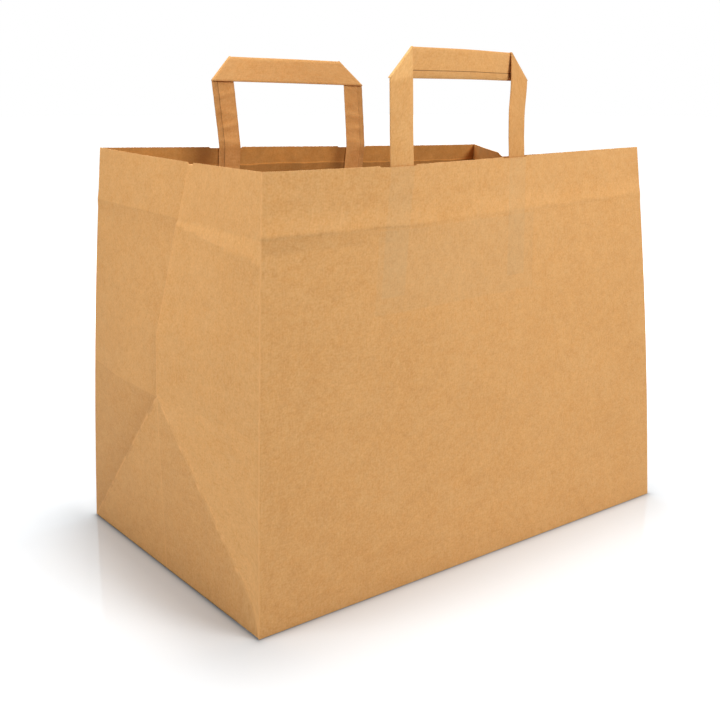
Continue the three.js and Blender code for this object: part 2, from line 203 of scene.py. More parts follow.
def gusset_panel(end, s, v):
    """A point of a gusseted side, s along it from the front and v up it."""
    t = lifted(end, s, v) / H
    front, back = corner("front", end, t), corner("back", end, t)
    apex_in, _, _, dip = GUSSET[end]
    share = np.minimum(s, D - s) / (D / 2)
    across = back - front
    inward = unit(np.stack([across[..., 1], -across[..., 0], np.zeros_like(t * s)], -1))
    if end == "right":
        inward = -inward
    low = apex_in * np.minimum(v / APEX, share)
    depth = np.where(v <= APEX, low, crease_in(end, v) * share)
    amount = depth - fold_relief(end, s, v) - relief(end, s, v)
    point = front + across * (s / D)[..., None] + inward * amount[..., None]
    drop = RIGHT_DROP * smooth((D / 2 - s) / DROP_LEAD) if end == "right" else 0.0
    point[..., 2] -= (dip + drop) * share * clamp01((v - APEX) / (H - APEX))
    return point


# Long soft waves of the sheet: amplitude in mm, waves per metre along and up, phase
WAVES = {
    "front": [(0.42, 5.1, 3.4, 0.3), (0.30, 9.0, -4.2, 1.9), (0.22, 3.0, 9.5, 4.0), (0.12, 15.0, 7.0, 2.2)],
    "back": [(0.45, 4.2, -3.1, 1.1), (0.28, 8.4, 5.0, 0.4), (0.20, 2.4, 10.0, 3.0), (0.12, 14.0, -8.0, 5.2)],
    "left": [(0.32, 6.0, 4.0, 2.0), (0.24, 10.5, -6.0, 0.7), (0.12, 17.0, 9.0, 3.3)],
    "right": [(0.36, 6.5, 3.0, 0.9), (0.24, 11.0, 7.0, 2.6), (0.12, 16.0, -9.0, 1.3)],
}


def relief(wall, s, v):
    """Soft waves of the sheet, which die out at the upright folds and at the base."""
    length = W if wall in ("front", "back") else D
    total = np.zeros(np.broadcast(s, v).shape)
    for amplitude, along, up, phase in WAVES[wall]:
        total = total + amplitude * np.sin(2 * math.pi * (along * s + up * v) / 1000 + phase)
    hold = smooth(np.minimum(s, length - s) / 28.0) * smooth(v / 40.0)
    if length == D:
        hold = hold * smooth(np.abs(s - D / 2) / 18.0)
        hold = hold * smooth(np.abs(v - APEX * np.minimum(s, D - s) / (D / 2)) / 18.0)
    return total * hold


def rim_dip(side, s):
    """How far the rim of a long panel dips at the handle's legs."""
    dip = np.zeros_like(s)
    for leg in (HANDLE_FROM[side], HANDLE_FROM[side] + SPAN - TAPE_W):
        start, end = leg - DIP_LEAD, leg + TAPE_W + DIP_TAIL
        dip = np.maximum(dip, clamp01((s - start) / DIP_SLOPE) * clamp01((end - s) / DIP_SLOPE))
    return dip * DIP_DEPTH


def stations(marks, step):
    """Every mark is kept, and the stretches between marks are divided evenly."""
    marks = sorted(set(round(m, 4) for m in marks))
    places = [marks[0]]
    for a, b in zip(marks, marks[1:]):
        n = max(1, round((b - a) / step))
        places += [a + (b - a) * k / n for k in range(1, n + 1)]
    return np.array(places)


# Mesh helpers


def make_mesh(name, points, faces, uv=None, values=None, smooth_faces=True, sharp=None):
    """points in mm. uv is one pair per vertex in mm; values is {attribute name: one number per vertex}."""
    mesh = bpy.data.meshes.new(name)
    mesh.from_pydata([tuple(p) for p in np.asarray(points, float) * MM], [], [tuple(f) for f in faces])
    mesh.validate()
    if uv is not None:
        layer = mesh.uv_layers.new(name="sheet")
        loop_vertex = np.zeros(len(mesh.loops), np.int32)
        mesh.loops.foreach_get("vertex_index", loop_vertex)
        layer.data.foreach_set("uv", (np.asarray(uv, float)[loop_vertex] * MM).astype(np.float32).ravel())
    for key, numbers in (values or {}).items():
        attribute = mesh.attributes.new(key, "FLOAT", "POINT")
        attribute.data.foreach_set("value", np.asarray(numbers, np.float32))
    mesh.polygons.foreach_set("use_smooth", [smooth_faces] * len(mesh.polygons))
    if sharp is not None:
        marks = mesh.attributes.new("sharp_edge", "BOOLEAN", "EDGE")
        flags = np.array([tuple(sorted(e.vertices)) in sharp for e in mesh.edges], bool)
        marks.data.foreach_set("value", flags)
    mesh.update()
    obj = bpy.data.objects.new(name, mesh)
    bpy.context.scene.collection.objects.link(obj)
    return obj


# The folded sheet

# A side's columns and the rows below the apex lie at the same shares, so the slanting folds run corner to corner
SHARES = np.concatenate([[0, 0.004, 0.010, 0.020], np.linspace(0.04, 0.96, 36), [0.98, 0.990, 0.996, 1.0]])


def dip_marks(side):
    """The bends of the rim at the handle's two legs."""
    marks = []
    for leg in (HANDLE_FROM[side], HANDLE_FROM[side] + SPAN - TAPE_W):
        start, end = leg - DIP_LEAD, leg + TAPE_W + DIP_TAIL
        marks += [start, start + DIP_SLOPE, end - DIP_SLOPE, end]
    return marks


def sheet_columns():
    """Places of the columns along each wall, in their order round the bag."""
    half = SHARES * D / 2
    gusset = np.concatenate([half, D - half[::-1][1:]])
    ends = [0, W, *BESIDE_EDGE, *(W - x for x in BESIDE_EDGE)]
    lap_end = W - LAP_FROM
    front = stations([*ends, *dip_marks("front")], COLUMN_STEP)
    back = stations([*ends, *dip_marks("back"), lap_end - LAP_WIDTH, lap_end, lap_end + 0.15], COLUMN_STEP)
    return [
        ("front", front[:-1]),
        ("right", gusset[:-1]),
        ("back", back[::-1][:-1]),
        ("left", gusset[::-1][:-1]),
    ]


def bag_rows():
    """Heights of the rows: shares of the apex below it, and above it close together beside the fold."""
    marks = [APEX, APEX + 0.8, APEX + 2.0, TURN, H - 2.2]
    marks += [FOLD + x for x in BESIDE_FOLD] + [FOLD - x for x in BESIDE_FOLD + BELOW_FOLD]
    return np.concatenate([APEX * SHARES[:-1], stations(marks, ROW_STEP)])


def wall_grid(walls, rows, dipped):
    """Points, uv and wall data of every column at the given rows."""
    blocks, us, names, ss = [], [], [], []
    start = 0.0
    for wall, s in walls:
        S, V = np.meshgrid(s, rows, indexing="ij")
        if dipped and wall in ("front", "back"):
            V = V - rim_dip(wall, S)
        blocks.append(long_panel(wall, S, V) if wall in ("front", "back") else gusset_panel(wall, S, V))
        length = W if wall in ("front", "back") else D
        us.append(start + (s if wall in ("front", "right") else length - s))
        start += length
        names += [wall] * len(s)
        ss.append(s)
    return np.concatenate(blocks), np.concatenate(us), names, np.concatenate(ss)


def grid_normals(P):
    """Outward normals of a grid that closes on itself round the bag."""
    across = np.roll(P, -1, 0) - np.roll(P, 1, 0)
    up = np.gradient(P, axis=1)
    return unit(np.cross(across, up))


def lap_rise(names, ss):
    """The glued lap stands off the back panel by a paper's thickness at its free edge."""
    start, end = W - LAP_FROM - LAP_WIDTH, W - LAP_FROM
    rise = np.where((ss >= start) & (ss <= end + 0.01), LAP_STEP * (ss - start) / LAP_WIDTH, 0.0)
    return np.where(np.array(names) == "back", rise, 0.0)


def side_tone(s, v):
    """Painted highlights and painted shade beside the folds of the left side above its slanting folds."""
    near = s < D / 2
    off = abs(s - D / 2)
    soft = smooth(off / 1.5)
    if v > TURN:
        crease = (0.035 * math.exp(-off / 9.0) if near else -0.035 * math.exp(-off / 7.0)) * soft
    else:
        crease = (0.04 * math.exp(-off / 9.0) if near else -0.08 * math.exp(-off / 6.0)) * soft
    down = FOLD - v
    reach = 4.0 + 9.0 * max(0.0, 1 - s / 95.0)
    if down < 0:
        return crease
    if not near:
        return crease - 0.06 * math.exp(-max(0.0, down - 3.0) / 8.0)
    if down < reach:
        return crease + 0.065 * float(smooth(down / 2.5))
    return crease - (0.02 + 0.06 * max(0.0, 1 - s / 40.0)) * math.exp(-(down - reach) / 7.0)


def inner_tone(wall, s, v):
    """Painted shadow on the inside beside the rear handle's legs, and painted shade in the far left corner."""
    if wall != "back":
        return -0.05 if wall == "left" else 0.0
    first, second = HANDLE_FROM["back"], HANDLE_FROM["back"] + SPAN - TAPE_W
    dark = 0.50 * math.exp(-(((s - first + 11.0) / 12.0) ** 2))
    dark += 0.42 * math.exp(-(((s - second + 5.0) / 7.0) ** 2))
    fade = clamp01((v - H + 90.0) / 50.0)
    return -dark * fade


def sheet_tone(wall, s, v, inside):
    """Slight painted light and shade between the facets of the sheet, darker below zero."""
    if inside:
        return inner_tone(wall, s, v)
    if wall == "front":
        # painted shade on the front: darker towards the lower left and towards the right end
        fade = 200.0
        low_left = max(0.0, 1 - s / fade) * max(0.0, 1 - v / fade)
        return -0.02 - 0.06 * low_left - 0.03 * max(0.0, s / fade - 0.6)
    if wall == "back":
        return 0.0
    edge = min(s, D - s)
    diagonal = APEX * edge / (D / 2)
    rear = s > D / 2
    # above the apex: slight painted shade on the rear half and the left side's painted fold tones; below it:
    # painted shade on the base triangle, darker towards the bottom, and on the rear triangle, and a painted
    # highlight on the near triangle
    if v > APEX:
        return (-0.015 if rear else 0.0) + (side_tone(s, v) if wall == "left" else 0.0)
    if v <= diagonal:
        return (-0.02 if rear else -0.045) - 0.055 * (1 - v / APEX)
    off = (v - diagonal) / SLANT_RATIO
    if rear:
        return -0.07 - 0.11 * math.exp(-off / 16.0)
    return 0.03 + 0.05 * math.exp(-off / 6.0)


def bag_sheet():
    """The folded sheet: outer and inner face, the saw-cut rim between them, and the inside of the base."""
    walls = sheet_columns()
    rows = bag_rows()
    P, u, names, ss = wall_grid(walls, rows, False)
    n_columns, n_rows = P.shape[:2]
    normals = grid_normals(P)
    rise = lap_rise(names, ss)
    # bottom folds: the front flap is lowest, then the back flap, then the ends
    lift = {"front": 0.0, "back": FLAP_STEP, "left": 2 * FLAP_STEP, "right": 2 * FLAP_STEP}
    last_place = {"back": W, "left": D}
    is_corner = np.array([s == 0 or s == last_place.get(n) for n, s in zip(names, ss)])
    foot = np.array([lift[n] for n in names])
    outer = P + normals * rise[:, None, None]
    outer[:, 0, 2] = np.where(is_corner, 0.0, foot)
    inner = P - normals * (PAPER * np.where(is_corner, 1.3, 1.0))[:, None, None]
    inner[..., 2] = np.maximum(inner[..., 2], FLOOR_TOP)

    points, uvs, faces, sharp = [], [], [], set()
    d_edge, d_diag, d_mid, rear, inside, painted_light_shade = [], [], [], [], [], []

    def add(block, rows_v, flag):
        """Adds a grid of points and their data, and returns the index of its first point."""
        first = len(points)
        nc, nr = block.shape[:2]
        for i in range(nc):
            wall, s = names_of[i], s_of[i]
            length = W if wall in ("front", "back") else D
            edge = min(s, length - s)
            gusset = length == D
            for j in range(nr):
                v = rows_v[j]
                points.append(block[i, j])
                uvs.append((u_of[i], v))
                d_edge.append(edge)
                share = edge / (D / 2)
                slanted = gusset and v <= APEX + 1e-6
                d_diag.append(abs(v - APEX * share) / SLANT_RATIO if slanted else FAR_SLANT)
                d_mid.append(abs(s - D / 2) if gusset else FAR_EDGE)
                behind = wall == "back" or (gusset and s >= D / 2 and v >= APEX * share - 1.0)
                rear.append(1.0 if behind else 0.0)
                inside.append(flag)
                painted_light_shade.append(sheet_tone(wall, s, v, flag > 0))
        return first

    # the seam of the uv lies at the near corner, where a copy of the first column closes the ring
    names_of = names + [names[0]]
    s_of = np.append(ss, ss[0])
    total = 2 * (W + D)
    u_of = np.append(u, total)
    closed = lambda block: np.concatenate([block, block[:1]])
    outer_first = add(closed(outer), rows, 0.0)
    inner_first = add(closed(inner), rows, 1.0)

    def at(first, i, j):
        return first + i * n_rows + j

    for i in range(n_columns):
        wall = names[i]
        gusset = wall in ("left", "right")
        # in the gussets each cell is cut along the slanting folds of the block bottom
        wall_start = W if wall == "right" else 2 * W + D
        slash = not gusset or u[i] - wall_start < D / 2 - 1e-6
        for j in range(n_rows - 1):
            a, b = at(outer_first, i, j), at(outer_first, i + 1, j)
            c, d = at(outer_first, i + 1, j + 1), at(outer_first, i, j + 1)
            low_gusset = gusset and rows[j + 1] <= APEX + 1e-6
            if low_gusset:
                faces += [(a, b, c), (a, c, d)] if slash else [(a, b, d), (b, c, d)]
            else:
                faces.append((a, b, c, d))
            e, f = at(inner_first, i, j), at(inner_first, i + 1, j)
            g, h = at(inner_first, i + 1, j + 1), at(inner_first, i, j + 1)
            if low_gusset:
                faces += [(e, g, f), (e, h, g)] if slash else [(e, h, f), (f, h, g)]
            else:
                faces.append((e, h, g, f))

    # the saw-cut rim: a band of cells with many upper points, then the teeth
    fine = RIM_FINE
    walls_fine = []
    for wall, s in walls:
        length = W if wall in ("front", "back") else D
        end = length if wall in ("front", "right") else 0.0
        full = np.append(s, end)
        cuts = [np.linspace(a, b, fine, endpoint=False) for a, b in zip(full, full[1:])]
        walls_fine.append((wall, np.concatenate(cuts)))
    rim_rows = np.array([H - RIM_BAND, H])
    R, ur, rim_names, rim_s = wall_grid(walls_fine, rim_rows, True)
    rim_normals = grid_normals(R)
    n_fine = len(rim_s)
    spacing = np.diff(np.append(ur, total))
    place = np.cumsum(spacing)
    rng = np.random.default_rng(11)
    tooth_places = np.arange(0, total + 1, TOOTH_PITCH)
    tooth_depths = TOOTH_DEPTH * (np.arange(len(tooth_places)) % 2) * rng.uniform(0.5, 1.3, len(tooth_places))
    jag = np.interp(place, tooth_places, tooth_depths)
    worn = rng.uniform(-RIM_WEAR, RIM_WEAR, n_fine)
    R[:, 1, 2] += worn - jag
    nick = (np.array(rim_names) == "left") & (np.abs(rim_s - NICK_AT) < NICK_HALF)
    R[nick, 1, 2] -= NICK_DEPTH
    rim_rise = lap_rise(rim_names, rim_s)
    rim_out = R + rim_normals * rim_rise[:, None, None]
    rim_in = R - rim_normals * PAPER
    names_of, s_of, u_of = rim_names + [rim_names[0]], np.append(rim_s, rim_s[0]), np.append(ur, total)
    outer_rim = add(closed(rim_out), rim_rows, 0.0)
    inner_rim = add(closed(rim_in), rim_rows, 1.0)
    top = n_rows - 1
    for i in range(n_columns):
        base = [outer_rim + (i * fine + k) * 2 for k in range(fine + 1)]
        faces.append((at(outer_first, i, top), at(outer_first, i + 1, top), *reversed(base)))
        base = [inner_rim + (i * fine + k) * 2 for k in range(fine + 1)]
        faces.append((at(inner_first, i + 1, top), at(inner_first, i, top), *base))
    for i in range(n_fine):
        a, b = outer_rim + i * 2, outer_rim + (i + 1) * 2
        faces.append((a, b, b + 1, a + 1))
        c, d = inner_rim + i * 2, inner_rim + (i + 1) * 2
        faces.append((c, c + 1, d + 1, d))
        faces.append((a + 1, b + 1, d + 1, c + 1))
        for pair in ((a + 1, b + 1), (c + 1, d + 1)):
            sharp.add(tuple(sorted(pair)))

    # the inside of the base
    middle = len(points)
    points.append(np.array([0.0, 0.0, FLOOR_TOP]))
    uvs.append((total / 2, -60.0))
    ends = ((d_edge, FAR_EDGE), (d_diag, FAR_SLANT), (d_mid, FAR_EDGE), (rear, 0.0), (inside, 1.0), (painted_light_shade, 0.0))
    for store, number in ends:
        store.append(number)
    for i in range(n_columns):
        a, b = at(inner_first, i, 0), at(inner_first, i + 1, 0)
        faces.append((middle, a, b))
        sharp.add((a, b))

    values = {"d_edge": d_edge, "d_diag": d_diag, "d_mid": d_mid, "rear": rear, "inside": inside, "painted_light_shade": painted_light_shade}
    return make_mesh("kraft_sheet", points, faces, uvs, values, True, sharp)


def underside():
    """The folded layers of the block bottom: ends inmost, then the back flap, then the front flap."""
    inset, clear, inside_top = 0.3, 0.02, 1.0
    x, y = W / 2 - inset, D / 2 - inset
    meet = W / 2 - D / 2
    points, faces, uvs = [], [], []

    def slab(outline, z0, z1):
        first = len(points)
        for z in (z0, z1):
            for px, py in outline:
                points.append((px, py, z))
                uvs.append((px + 400, py + 400))
        n = len(outline)
        faces.append(tuple(first + k for k in reversed(range(n))))
        faces.append(tuple(first + n + k for k in range(n)))
        for k in range(n):
            m = (k + 1) % n
            faces.append((first + k, first + m, first + n + m, first + n + k))

    slab([(-x, -y), (x, -y), (x, y), (-x, y)], 2 * FLAP_STEP, inside_top)
    slab([(-x, y), (-meet, 0), (meet, 0), (x, y)], FLAP_STEP, 2 * FLAP_STEP - clear)
    lip = meet - FLAP_OVERLAP
    front_flap = [(-x, -y), (x, -y), (meet, 0), (lip, FLAP_OVERLAP), (-lip, FLAP_OVERLAP), (-meet, 0)]
    slab(front_flap, 0.0, FLAP_STEP - clear)
    return make_mesh("bottom_flaps", points, faces, uvs, smooth_faces=False)


# Handles and patches

SIDE_NAME = {"front": "front", "back": "rear"}


def beside_panel(side, along, height, inwards):
    """Along a panel, above (+) or below (-) its rim, and inwards from its inner face."""
    s = HANDLE_FROM[side] + along
    v = H + np.minimum(height, 0)
    d = 2.0
    here = long_panel(side, s, v)
    across = unit(long_panel(side, s + d, v) - long_panel(side, s - d, v))
    below = long_panel(side, s, v - d)
    above = np.where((v > H - 1e-6)[..., None], here, long_panel(side, s, np.minimum(v + d, H)))
    rising = unit(above - below)
    out = unit(np.cross(across, rising))
    if side == "back":
        out = -out
    share, rise = along / SPAN, np.maximum(height, 0) / HANDLE_H[side]
    o, a = HANDLE_OUT[side], HANDLE_ALONG[side]
    here = here + rising * np.maximum(height, 0)[..., None]
    here = here + out * ((o[0] + (o[1] - o[0]) * share) * rise)[..., None]
    here = here + across * ((a[0] + (a[1] - a[0]) * share) * rise)[..., None]
    return here - out * (CAD_PAPER + inwards)[..., None]


def tape_section():
    """Closed outline of the tape: places across it, and offsets from its middle (+ is the seam's face)."""
    half = TAPE_T / 2
    plain = [(q, -half) for q in (0.25, 1.6, 4.2, 6.5, 9.0, 11.5, 13.8, 15.75)]
    far = [(15.95, -0.12), (15.95, 0.12)]
    seam = [(q, half) for q in (15.75, 13.8, 11.5, 9.0, 6.5, 4.6, 4.12)]
    lap = [(4.08, half - 0.06), (4.0, half + 0.04)] + [(q, half + SEAM_STEP) for q in (3.85, 1.6, 0.25)]
    near = [(0.03, 0.2), (0.03, -0.12)]
    return np.array(plain + far + seam + lap + near)


def tape_rows(top):
    """Rows from the foot of the left leg to the foot of the right: kind, place, mirrored."""
    leg_step, strip_step, bend_steps = 1.2, 2.0, 10
    leg = stations([-REACH, FOLD - H, 0, top], leg_step)
    strip = stations([TAPE_W, SPAN - TAPE_W], strip_step)
    bends = [math.pi * k / bend_steps for k in range(1, bend_steps)]
    rows = [("leg", h, False) for h in leg] + [("bend", t, False) for t in bends]
    rows += [("strip", a, False) for a in strip]
    rows += [("bend", t, True) for t in reversed(bends)] + [("leg", h, True) for h in reversed(leg)]
    return rows


# Cross-wise crinkles of each leg: height above the rim, strength in mm, half width in mm, slant
CRINKLES = {
    ("back", False): [(34, 0.40, 1.9, 0.20), (23, 0.34, 1.8, -0.15), (14, 0.44, 2.0, 0.25), (4, 0.36, 1.8, -0.1)],
    ("back", True): [
        (40, 0.34, 1.6, 0.10), (31, 0.36, 1.7, -0.2), (22, 0.42, 1.8, 0.15),
        (13, 0.40, 1.7, -0.15), (4, 0.36, 1.6, 0.1), (-3, 0.30, 1.6, -0.1),
    ],
    ("front", False): [(20, 0.12, 4.0, 0.15), (6, 0.10, 4.0, -0.1)],
    ("front", True): [(30, 0.10, 4.0, 0.1), (12, 0.14, 4.0, -0.1)],
}


# Painted shade on the tape of each leg and strip: how much darker or paler it is
LEG_PAINTED_SHADE = {("back", False): -0.17, ("back", True): -0.15, ("front", False): -0.01, ("front", True): -0.11}
STRIP_PAINTED_SHADE = {"front": -0.06, "back": 0.0}


def corner_shift(side, a, h, top):
    """The rear handle's strip is pulled to the left; the front handle's right leg bows outwards."""
    if side == "back":
        rise = clamp01((h - top) / TAPE_W)
        right = smooth((a - SPAN / 2) / (SPAN / 2 - 12))
        left = smooth((SPAN / 2 - a) / (SPAN / 2 - 12))
        lean = clamp01((h + 20.0) / (HANDLE_H[side] + 20.0))
        return -rise * (3.8 * right + 0.8 * left) - lean * (1.4 * right + 2.2 * left)
    bow = smooth((h / HANDLE_H[side] - 0.35) / 0.4)
    return 2.2 * bow * smooth((a - SPAN / 2) / (SPAN / 2 - 8))


def tape_handle(side):
    """One folded tape: rings of its section along the left leg, the strip and the right leg."""
    section = tape_section()
    q, face = section[:, 0], section[:, 1]
    n = len(section)
    top = HANDLE_H[side] - TAPE_W
    depth0 = GLUE + TAPE_T / 2
    rings, lengths, painted_light_shade, worn, crumpled = [], [], [], [], []
    run = 0.0
    previous = None
    for kind, place, mirror in tape_rows(top):
        if kind == "leg":
            slope = clamp01(place / top)
            a, h, turn = q, place + slope * q, 0.0
        elif kind == "bend":
            push = 0.3 * TAPE_R * math.sin(place)
            a, h, turn = q - push, top + q + push, place
        else:
            share = (place - TAPE_W) / (SPAN - 2 * TAPE_W)
            a, h, turn = place + (2 * share - 1) * (TAPE_W - q), top + q, math.pi
        if mirror:
            a = SPAN - a
        inwards = depth0 + TAPE_R * (1 - math.cos(turn)) + face * math.cos(turn)
        slide = face * math.sin(turn) * math.sqrt(0.5)
        a = a + (-slide if mirror else slide)
        h = h - slide
        if kind == "leg":
            for level, strength, width, slant in CRINKLES[(side, mirror)]:
                at = (h - level - slant * (q - 8)) / width
                swell = strength * (1 - at) * np.exp(-at * at) * smooth((place + 6) / 4)
                inwards = inwards + swell * (1 - 0.6 * ((q - 8) / 8) ** 2)
            inwards = inwards + 0.25 * ((q - 8) / 8) ** 2 * smooth(place / 12)
        if side == "front" and kind == "strip":
            # near its right end the strip's lower edge stands off behind the leg
            inwards = inwards + 2.0 * smooth((a - 60) / 40) * (1 - q / TAPE_W) * smooth((SPAN - 2 - a) / 8)
        # painted highlight on the front handle's left mitre, and painted shade on the legs and strips, darker
        # towards the foot of the front legs
        pale = 0.16 if side == "front" and not mirror else 0.0
        low = 0.05 * clamp01(1 - h / 30.0) if side == "front" else 0.0
        shade = (LEG_PAINTED_SHADE[(side, mirror)] - low) * (kind == "leg") + STRIP_PAINTED_SHADE[side] * (kind == "strip")
        at_mitre = smooth((h - top + 3 - a * 0.2) / 3) * smooth((TAPE_W + 1 - a) / 3)
        painted_light_shade += list(shade + pale * at_mitre)
        a = a + corner_shift(side, a, h, top)
        # worn here only marks where the seam's painted shadow is mostly left off: the rear handle's right leg
        worn += list(0.8 * (side == "back" and mirror and kind == "leg") + 0 * q)
        crumpled += list((1.0 if side == "back" else 0.25) * (kind == "leg") + 0 * q)
        ring = beside_panel(side, a, h, inwards)
        centre = ring.mean(0)
        if previous is not None:
            run += float(np.linalg.norm(centre - previous))
        previous = centre
        rings.append(ring)
        lengths.append(run)
    points = np.concatenate(rings)
    across = np.where(np.arange(n) < 10, q + 40.0, q)
    uvs = [(length, c) for length in lengths for c in across]
    faces = []
    for i in range(len(rings) - 1):
        for k in range(n):
            m = (k + 1) % n
            faces.append((i * n + k, i * n + m, (i + 1) * n + m, (i + 1) * n + k))
    faces.append(tuple(range(n)))
    last = (len(rings) - 1) * n
    faces.append(tuple(reversed(range(last, last + n))))
    obj = make_mesh(SIDE_NAME[side] + "_tape", points, faces, uvs,
                    {"painted_light_shade": painted_light_shade, "worn": worn, "crumpled": crumpled})
    fix_facing(obj)
    return obj


def fix_facing(obj):
    """Turns the faces outwards where the closed mesh was made inside out."""
    volume = 0.0
    for p in obj.data.polygons:
        a = obj.data.vertices[p.vertices[0]].co
        for k in range(1, len(p.vertices) - 1):
            b, c = obj.data.vertices[p.vertices[k]].co, obj.data.vertices[p.vertices[k + 1]].co
            volume += a.dot(b.cross(c))
    if volume < 0:
        obj.data.flip_normals()


def patch(side):
    """The patch glued over the feet of a handle's legs, raised where it lies on them."""
    start = PATCH_SHIFT - (PATCH_W - SPAN) / 2
    legs = (0.0, SPAN - TAPE_W)
    stack = TAPE_T + SEAM_STEP + GLUE
    marks = [start, start + PATCH_W]
    for leg in legs:
        before, after = leg - PATCH_SLACK, leg + TAPE_W + PATCH_SLACK
        marks += [before - PATCH_RAMP, before, after, after + PATCH_RAMP]
    step = 2.6
    alongs = stations(marks, step)
    foot = -REACH - PATCH_SLACK
    heights = stations([-PATCH_BELOW - PATCH_H, foot - PATCH_RAMP, foot, -PATCH_BELOW], step)
    A, B = np.meshgrid(alongs, heights, indexing="ij")
    over = np.zeros_like(A)
    for leg in legs:
        beyond = np.abs(A - leg - TAPE_W / 2) - TAPE_W / 2 - PATCH_SLACK
        over = np.maximum(over, smooth(1 - beyond / PATCH_RAMP))
    rise = stack * over * smooth((B - foot + PATCH_RAMP) / PATCH_RAMP)
    layers = [beside_panel(side, A, B, GLUE + rise + k * PATCH_T) for k in (0, 1)]
    na, nb = A.shape
    points = np.concatenate([layer.reshape(-1, 3) for layer in layers])
    uvs = [(a + 200, b + 200) for _ in (0, 1) for a, b in zip(A.ravel(), B.ravel())]
    index = lambda k, i, j: k * na * nb + i * nb + j
    faces = []
    for i in range(na - 1):
        for j in range(nb - 1):
            cell = [(i, j), (i, j + 1), (i + 1, j + 1), (i + 1, j)]
            faces.append(tuple(index(0, *c) for c in cell))
            faces.append(tuple(index(1, *c) for c in (cell[0], *reversed(cell[1:]))))

    def rim(a, b):
        """The face that closes the edge from a to b between the two layers."""
        faces.append((index(0, *a), index(0, *b), index(1, *b), index(1, *a)))

    for i in range(na - 1):
        rim((i, 0), (i + 1, 0))
        rim((i + 1, nb - 1), (i, nb - 1))
    for j in range(nb - 1):
        rim((0, j + 1), (0, j))
        rim((na - 1, j), (na - 1, j + 1))
    obj = make_mesh(SIDE_NAME[side] + "_patch_sheet", points, faces, uvs)
    fix_facing(obj)
    return obj


# Materials


class Nodes:
    """Short names for building a node tree."""

    def __init__(self, owner):
        owner.use_nodes = True
        self.tree = owner.node_tree
        self.tree.nodes.clear()

    def new(self, kind, **settings):
        node = self.tree.nodes.new(kind)
        for key, value in settings.items():
            setattr(node, key, value)
        return node

    def link(self, source, target):
        self.tree.links.new(source, target)

    def put(self, socket, value):
        if isinstance(value, bpy.types.NodeSocket):
            self.link(value, socket)
        else:
            socket.default_value = value

    def math(self, operation, a, b=0.0):
        node = self.new("ShaderNodeMath", operation=operation)
        self.put(node.inputs[0], a)
        self.put(node.inputs[1], b)
        return node.outputs[0]

    def chain(self, operation, values):
        result = values[0]
        for value in values[1:]:
            result = self.math(operation, result, value)
        return result

    def add(self, *values):
        return self.chain("ADD", values)

    def sub(self, a, b):
        return self.math("SUBTRACT", a, b)

    def mul(self, *values):
        return self.chain("MULTIPLY", values)

    def max(self, *values):
        return self.chain("MAXIMUM", values)

    def band(self, x, low, high):
        """0 at low, 1 at high, clamped and smooth."""
        node = self.new("ShaderNodeMapRange", interpolation_type="SMOOTHSTEP")
        self.put(node.inputs["Value"], x)
        node.inputs["From Min"].default_value, node.inputs["From Max"].default_value = low, high
        return node.outputs[0]

    def near(self, x, width):
        """1 where x is 0, 0 beyond width."""
        node = self.new("ShaderNodeMapRange", interpolation_type="SMOOTHSTEP")
        self.put(node.inputs["Value"], self.math("ABSOLUTE", x))
        node.inputs["From Min"].default_value, node.inputs["From Max"].default_value = 0.0, width
        node.inputs["To Min"].default_value, node.inputs["To Max"].default_value = 1.0, 0.0
        return node.outputs[0]

    def box(self, u, v, u0, u1, v0, v1, soft=0.8):
        """1 inside a rectangle of the sheet, with a soft edge."""
        a = self.mul(self.band(u, u0 - soft, u0 + soft), self.band(u, u1 + soft, u1 - soft))
        b = self.mul(self.band(v, v0 - soft, v0 + soft), self.band(v, v1 + soft, v1 - soft))
        return self.mul(a, b)

    def noise(self, vector, scale, detail=3.0, rough=0.55, stretch=None):
        if stretch is not None:
            mapping = self.new("ShaderNodeMapping")
            self.link(vector, mapping.inputs["Vector"])
            mapping.inputs["Scale"].default_value = stretch
            vector = mapping.outputs[0]
        node = self.new("ShaderNodeTexNoise")
        self.link(vector, node.inputs["Vector"])
        node.inputs["Scale"].default_value = scale
        node.inputs["Detail"].default_value = detail
        node.inputs["Roughness"].default_value = rough
        return node.outputs["Fac"]

    def centred(self, fac, gain):
        """A noise moved to lie round 0, times gain."""
        return self.mul(self.sub(fac, 0.5), gain)

    def attribute(self, name):
        node = self.new("ShaderNodeAttribute", attribute_name=name)
        return node.outputs["Fac"]

    def tint(self, colour, factor, other):
        node = self.new("ShaderNodeMix", data_type="RGBA")
        self.put(node.inputs["Factor"], factor)
        self.put(node.inputs[6], colour)
        self.put(node.inputs[7], other)
        return node.outputs[2]

    def vector(self, operation, a, b):
        node = self.new("ShaderNodeVectorMath", operation=operation)
        self.put(node.inputs[0], a)
        self.put(node.inputs[1], b)
        return node.outputs[0]

    def scaled(self, colour, factor):
        node = self.new("ShaderNodeVectorMath", operation="SCALE")
        self.put(node.inputs[0], colour)
        self.put(node.inputs["Scale"], factor)
        return node.outputs[0]

    def shaded(self, colour, weights, amount):
        """The colour made paler by amount, or darker where it is below 0, each channel by its weight."""
        factor = self.vector("ADD", self.scaled(weights, amount), (1.0, 1.0, 1.0))
        return self.vector("MULTIPLY", colour, factor)

    def mixed_shader(self, factor, first, second):
        node = self.new("ShaderNodeMixShader")
        self.put(node.inputs[0], factor)
        self.link(first, node.inputs[1])
        self.link(second, node.inputs[2])
        return node.outputs[0]

    def finish(self, kind, shader):
        self.link(shader, self.new(kind).inputs["Surface"])


def srgb(r, g, b):
    def lin(c):
        c /= 255
        return c / 12.92 if c <= 0.04045 else ((c + 0.055) / 1.055) ** 2.4
    return (lin(r), lin(g), lin(b), 1.0)


BAG = srgb(224, 167, 103)
TAPE = srgb(224, 167, 102)
PATCH = srgb(210, 154, 92)
SHOW_THROUGH = (0.52, 0.46, 0.29, 1.0)
